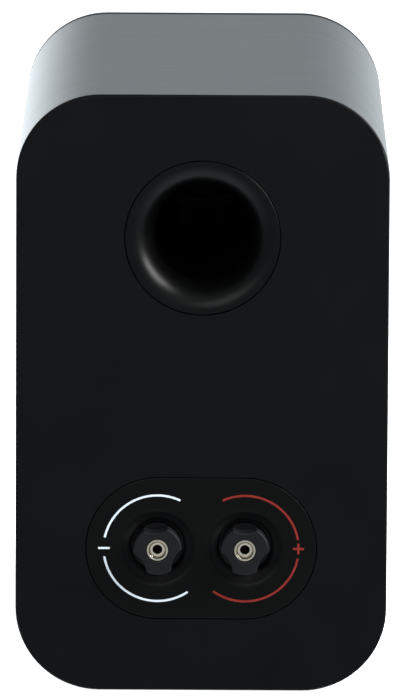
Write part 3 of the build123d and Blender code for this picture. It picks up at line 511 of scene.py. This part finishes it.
def strokeBox(bm, centre, wide, tall, thin):
    made = bmesh.ops.create_cube(bm, size=1)
    bmesh.ops.scale(bm, verts=made["verts"], vec=(wide, thin, tall))
    bmesh.ops.translate(bm, verts=made["verts"], vec=centre + Vector((0, thin / 2, 0)))


def arcMark(name, centre, start, end, finish, look):
    bm = bmesh.new()
    arcStroke(bm, centre, look["arcRadius"], start, end, look)
    bmesh.ops.recalc_face_normals(bm, faces=bm.faces)
    piece = makePiece(name, bm, finish, "cabinet")


def signMark(name, centre, bars, finish, look):
    bm = bmesh.new()
    for wide, tall, offset in bars:
        strokeBox(bm, centre + Vector((offset, 0, 0)), wide, tall, look["thickness"])
    bmesh.ops.recalc_face_normals(bm, faces=bm.faces)
    piece = makePiece(name, bm, finish, "cabinet")


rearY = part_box("rear_panel")[1].y
cupMiddle = Vector(centreOf("terminal_cup"))
whiteCentre = Vector((centreOf("negative_cap")[0], rearY, cupMiddle.z))
redCentre = Vector((centreOf("positive_cap")[0], rearY, cupMiddle.z))
for where, (start, end) in inkLook["whiteArcs"].items():
    arcMark("whiteArc" + where, whiteCentre, start, end, "white ink", inkLook)
for where, (start, end) in inkLook["redArcs"].items():
    arcMark("redArc" + where, redCentre, start, end, "red ink", inkLook)
signOut = Vector((inkLook["signOut"], 0, 0))
stroke, plus = inkLook["stroke"], inkLook["plusLength"]
arm = (plus - stroke) / 2
minusBars = [(inkLook["minusLength"], stroke, 0)]
plusBars = [(stroke, plus, 0), (arm, stroke, (stroke + arm) / 2), (arm, stroke, -(stroke + arm) / 2)]
signMark("minusSign", whiteCentre + signOut, minusBars, "white ink", inkLook)
signMark("plusSign", redCentre - signOut, plusBars, "red ink", inkLook)
print("printed marks made")


# drivers: the soft rings that flex are modelled here, in depths back from the baffle's face

def driverSection(bm, node, profile, steps=96):
    # spins a closed outline of (radius, depth) about the driver's own axis
    low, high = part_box(node)
    centre = Vector(((low.x + high.x) / 2, 0, (low.z + high.z) / 2))
    verts = [bm.verts.new((centre.x + r, baffleY + depth, centre.z)) for r, depth in profile]
    edges = [bm.edges.new((a, b)) for a, b in zip(verts, verts[1:] + verts[:1])]
    bmesh.ops.spin(bm, geom=verts + edges, cent=centre, axis=(0, 1, 0), angle=math.tau,
                   steps=steps, use_merge=True)
    bmesh.ops.recalc_face_normals(bm, faces=bm.faces)
    return centre


def radialBlend(piece, centre, fixedRadius, movingRadius):
    # fixed at one radius and moving at the other, and the same all the way round
    moving = "woofer_diaphragm" if "woofer" in piece.name else "tweeter_diaphragm"
    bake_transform(piece, "cabinet", moving,
             start=centre + Vector((fixedRadius, 0, 0)), end=centre + Vector((movingRadius, 0, 0)))
    share = piece.data.attributes["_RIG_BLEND"]
    for vert, weight in zip(piece.data.vertices, share.data):
        out = math.hypot(vert.co.x - centre.x, vert.co.z - centre.z)
        t = min(1, max(0, (fixedRadius - out) / (fixedRadius - movingRadius)))
        weight.value = t * t * (3 - 2 * t)


def rollArc(middle, base, radius, steps, start=0, end=180):
    spread = [math.radians(start + (end - start) * k / steps) for k in range(steps + 1)]
    return [(middle + radius * math.cos(a), base - radius * math.sin(a)) for a in spread]


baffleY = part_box("front_baffle")[0].y
softLook = {
    "wooferRoll": {"middle": 0.0550, "radius": 0.0042, "thick": 0.0008, "base": 0.0032,
                   "inner": 0.0486, "outer": 0.0640, "bead": 0.0004},
    "tweeterRoll": {"middle": 0.01275, "radius": 0.00145, "thick": 0.0003, "base": 0.00425,
                    "outer": 0.0190, "foot": 0.0051},
    "spider": {"inner": 0.0131, "outer": 0.0382, "waveStart": 0.0150, "waveEnd": 0.0340, "waves": 5,
               "depth": 0.03515, "swing": 0.0009, "thick": 0.0006},
}


def wooferSurround(look):
    roll = rollArc(look["middle"], look["base"], look["radius"], 20)
    under = rollArc(look["middle"], look["base"], look["radius"] - look["thick"], 20, 180, 0)
    bead, foot = look["bead"], look["base"] + look["thick"]
    profile = [(look["outer"], foot), (look["outer"], look["base"] + 0.0001),
               (look["middle"] + look["radius"] + 2 * bead, look["base"])]
    profile += roll
    profile += [(look["middle"] - look["radius"] - 2 * bead, look["base"]),
                (look["inner"] + 2 * bead, look["base"]),
                (look["inner"] + bead, look["base"] - bead / 2), (look["inner"], look["base"] + bead / 2),
                (look["inner"], foot), (look["middle"] - look["radius"] + look["thick"], foot)]
    profile += under
    profile += [(look["middle"] + look["radius"] - look["thick"], foot)]
    bm = bmesh.new()
    centre = driverSection(bm, "woofer_surround", profile, 128)
    piece = makePiece("wooferSurroundRoll", bm, "rubber", None)
    radialBlend(piece, centre, look["middle"] + look["radius"], look["middle"] - look["radius"])
    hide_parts("woofer_surround")


def tweeterSurround(look):
    roll = rollArc(look["middle"], look["base"], look["radius"], 14)
    under = rollArc(look["middle"], look["base"], look["radius"] - look["thick"], 14, 180, 0)
    profile = [(look["outer"], look["foot"]), (look["outer"], look["base"])] + roll + under
    profile += [(look["middle"] + look["radius"] - look["thick"], look["foot"])]
    bm = bmesh.new()
    centre = driverSection(bm, "tweeter_surround", profile)
    piece = makePiece("tweeterSurroundRoll", bm, "silk", None)
    radialBlend(piece, centre, look["middle"] + look["radius"], look["middle"] - look["radius"])
    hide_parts("tweeter_surround")


def wooferSpider(look):
    count = look["waves"] * 8
    front = [(look["inner"], look["depth"])]
    for k in range(count + 1):
        along = k / count
        swell = look["swing"] * math.sin(along * look["waves"] * math.pi)
        out = look["waveStart"] + along * (look["waveEnd"] - look["waveStart"])
        front.append((out, look["depth"] - swell))
    front.append((look["outer"], look["depth"]))
    profile = front + [(r, depth + look["thick"]) for r, depth in reversed(front)]
    bm = bmesh.new()
    centre = driverSection(bm, "woofer_spider", profile)
    piece = makePiece("wooferSpiderCloth", bm, "spider", None, 60)
    radialBlend(piece, centre, look["waveEnd"], look["waveStart"])
    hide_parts("woofer_spider")


wooferSurround(softLook["wooferRoll"])
tweeterSurround(softLook["tweeterRoll"])
wooferSpider(softLook["spider"])
print("soft rings made")


# wadding: a pad of loose fibre inside each side wall, thinner towards its edges
waddingLook = {
    "cells": (4, 18, 34),
    "edge": 0.004,
    "lump": 0.0016,
    "rim": 0.55,       # how thick a pad is at its edges, of its full thickness
    "waver": 0.0012,   # how far its outline wanders
    "thickness": 0.012,
    "fill": 0.3,
}


def waddingPad(name, low, high, look):
    bm = bmesh.new()
    bmesh.ops.create_cube(bm, size=1)
    size, middle = high - low, (low + high) / 2
    for axis, cuts in enumerate(look["cells"]):
        along = [e for e in bm.edges if abs((e.verts[0].co - e.verts[1].co)[axis]) > 1e-6]
        bmesh.ops.subdivide_edges(bm, edges=along, cuts=cuts, use_grid_fill=True)
    for vert in bm.verts:
        near = [1 - 2 * abs(vert.co[k]) for k in range(3)]
        flat = [min(1, near[k] * size[k] / look["edge"] / 2) for k in range(3)]
        full = min(flat[1] if near[1] else 0, flat[2] if near[2] else 0)
        puff = look["rim"] + (1 - look["rim"]) * full
        y, z = vert.co.y, vert.co.z
        wave = math.sin(y * 31 + 1.7 * math.sin(z * 17)) * math.cos(z * 43 + y * 9)
        thick = size.x * puff - look["lump"] * (1 + wave)
        tall = size.z - look["waver"] * (1 - wave) * 2
        deep = size.y - look["waver"] * (1 + wave) * 2
        vert.co = [vert.co.x * thick, y * deep, z * tall]
        vert.co += middle
    bmesh.ops.recalc_face_normals(bm, faces=bm.faces)
    piece = makePiece(name, bm, "wadding", "cabinet", 80)
    smooth = piece.modifiers.new("soften", "SUBSURF")
    smooth.levels = 1
    smooth.render_levels = 1
    return piece


padLow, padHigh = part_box("wadding_pads")
leftFace = Vector((padHigh.x - waddingLook["thickness"], padLow.y, padLow.z))
rightFace = Vector((padLow.x + waddingLook["thickness"], padHigh.y, padHigh.z))
leftPad = waddingPad("waddingPadLeft", leftFace, padHigh, waddingLook)
rightPad = waddingPad("waddingPadRight", padLow, rightFace, waddingLook)
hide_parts("wadding_pads")
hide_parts("wadding_pads")
print("wadding made")


# room: a pale floor that glows a little, a surround with its own brightness each way, and two softboxes

roomLook = {
    "air": (0.92, 0.985, 1.03, 1),
    "floorRadius": 9.0,
    "floorGlow": 0.9,
    "floorGap": 0.0005,          # the floor lies this far under the cabinet
    "floorDark": (0.92, 0.92, 0.93),
    "floorLight": (0.94, 0.94, 0.95),
    "frontEdge": -0.55,
    "rearEdge": 0.35,
    "sky": 0.12,
    "horizonRight": 1.15,
    "horizonLeft": 2.6,
    "horizonTurn": 0.15,         # left passes into right within this of the middle
    "horizonHeight": 0.24,
    "below": 1.5,
    "belowFrom": -0.35,
    "belowTo": -0.9,
    "rear": 0.55,
    "keyWay": (-0.80, 0.10, 0.45),
    "keyAway": 1.2,
    "keySize": 0.8,
    "keyPower": 52,
    "fillWay": (0.25, 0.8, 0.55),
    "fillAway": 1.6,
    "fillSize": 0.9,
    "fillPower": 9,
}


def softbox(name, place, target, size, power):
    light = bpy.data.lights.new(name, "AREA")
    light.shape = "SQUARE"
    light.size = size
    light.energy = power
    obj = bpy.data.objects.new(name, light)
    bpy.context.collection.objects.link(obj)
    obj.location = place
    obj.rotation_euler = (target - place).to_track_quat("-Z", "Y").to_euler()


bm = bmesh.new()
bmesh.ops.create_circle(bm, cap_ends=True, segments=96, radius=roomLook["floorRadius"])
bmesh.ops.translate(bm, verts=bm.verts[:], vec=(0, 0, cadLow.z - roomLook["floorGap"]))
floorMesh = bpy.data.meshes.new("floor")
bm.to_mesh(floorMesh)
bm.free()
floor = bpy.data.objects.new("floor", floorMesh)
bpy.context.collection.objects.link(floor)
floorMat, floorTree, floorShader = startMaterial("paleFloor", {"Specular IOR Level": 0.0, "Roughness": 0.9})
tintBetween(floorTree, floorShader, noise(floorTree, 0.4, 2),
            roomLook["floorDark"], roomLook["floorLight"])
floorShader.inputs["Emission Color"].default_value = (1, 1, 1, 1)
floorShader.inputs["Emission Strength"].default_value = roomLook["floorGlow"]
floorMesh.materials.append(floorMat)
floor.visible_glossy = False
floor.visible_diffuse = False

world = bpy.data.worlds.new("studio")
world.use_nodes = True
bpy.context.scene.world = world
worldTree = world.node_tree
background = worldTree.nodes["Background"]
background.inputs["Color"].default_value = roomLook["air"]
direction = worldTree.nodes.new("ShaderNodeTexCoord")
axes = worldTree.nodes.new("ShaderNodeSeparateXYZ")
worldTree.links.new(direction.outputs["Generated"], axes.inputs["Vector"])


def worldSpan(output, start, end, low, high, smooth=False):
    span = worldTree.nodes.new("ShaderNodeMapRange")
    span.interpolation_type = "SMOOTHSTEP" if smooth else "LINEAR"
    for socket, value in zip(("From Min", "From Max", "To Min", "To Max"), (start, end, low, high)):
        span.inputs[socket].default_value = value
    worldTree.links.new(output, span.inputs["Value"])
    return span.outputs["Result"]


def worldMath(kind, first, second):
    step = worldTree.nodes.new("ShaderNodeMath")
    step.operation = kind
    worldTree.links.new(first, step.inputs[0])
    worldTree.links.new(second, step.inputs[1])
    return step.outputs["Value"]


edges = roomLook["frontEdge"], roomLook["rearEdge"]
behind = worldSpan(axes.outputs["Y"], *edges, 1, 0, True)
rear = worldSpan(axes.outputs["Y"], *edges, 0, roomLook["rear"], True)
sky = worldSpan(axes.outputs["Y"], *edges, roomLook["sky"], 0, True)
side = worldSpan(axes.outputs["X"], -roomLook["horizonTurn"], roomLook["horizonTurn"],
                 roomLook["horizonRight"], roomLook["horizonLeft"])
horizon = worldSpan(axes.outputs["Z"], 0.0, roomLook["horizonHeight"], 1, 0)
glow = worldMath("MULTIPLY", worldMath("MULTIPLY", horizon, side), behind)
below = worldSpan(axes.outputs["Z"], roomLook["belowFrom"], roomLook["belowTo"], 0, roomLook["below"])
around = worldMath("ADD", worldMath("ADD", sky, rear), below)
worldTree.links.new(worldMath("ADD", glow, around), background.inputs["Strength"])

portMiddle = Vector(centreOf("port_flare"))
keyAim = Vector((portMiddle.x, rearY, portMiddle.z))
keyWay = Vector(roomLook["keyWay"]).normalized()
softbox("keyLight", keyAim + keyWay * roomLook["keyAway"], keyAim,
        roomLook["keySize"], roomLook["keyPower"])
fillWay = Vector(roomLook["fillWay"]).normalized()
softbox("fillLight", keyAim + fillWay * roomLook["fillAway"], keyAim,
        roomLook["fillSize"], roomLook["fillPower"])
print("room and lights made")


# camera, square to the rear panel and a little above it

viewLook = {
    "elevation": 9.99,
    "azimuth": 0.0475,
    "roll": -0.2865,
    "away": 4.251,
    "aside": 0.0002,
    "down": -0.0203,
    "lens": 479.2,
}


def aimCamera(look):
    lift, swing, roll = (math.radians(look[k]) for k in ("elevation", "azimuth", "roll"))
    back = Vector((-math.sin(swing) * math.cos(lift), math.cos(swing) * math.cos(lift), math.sin(lift)))
    right = Vector((-math.cos(swing), -math.sin(swing), 0))
    up = Vector((math.sin(lift) * math.sin(swing), -math.sin(lift) * math.cos(swing), math.cos(lift)))
    rolledRight = right * math.cos(roll) - up * math.sin(roll)
    rolledUp = right * math.sin(roll) + up * math.cos(roll)
    middle = Vector((0, rearY, (cadLow.z + cadHigh.z) / 2))
    place = middle + back * look["away"] - rolledRight * look["aside"] - rolledUp * look["down"]
    data = bpy.data.cameras.new("viewCamera")
    data.lens = look["lens"]
    data.clip_end = 50
    data.dof.use_dof = False
    camera = bpy.data.objects.new("viewCamera", data)
    bpy.context.collection.objects.link(camera)
    turn = Matrix((rolledRight, rolledUp, back)).transposed()
    camera.matrix_world = Matrix.Translation(place) @ turn.to_4x4()
    bpy.context.scene.camera = camera


aimCamera(viewLook)
bpy.context.scene.view_settings.view_transform = "Standard"
print("camera set")
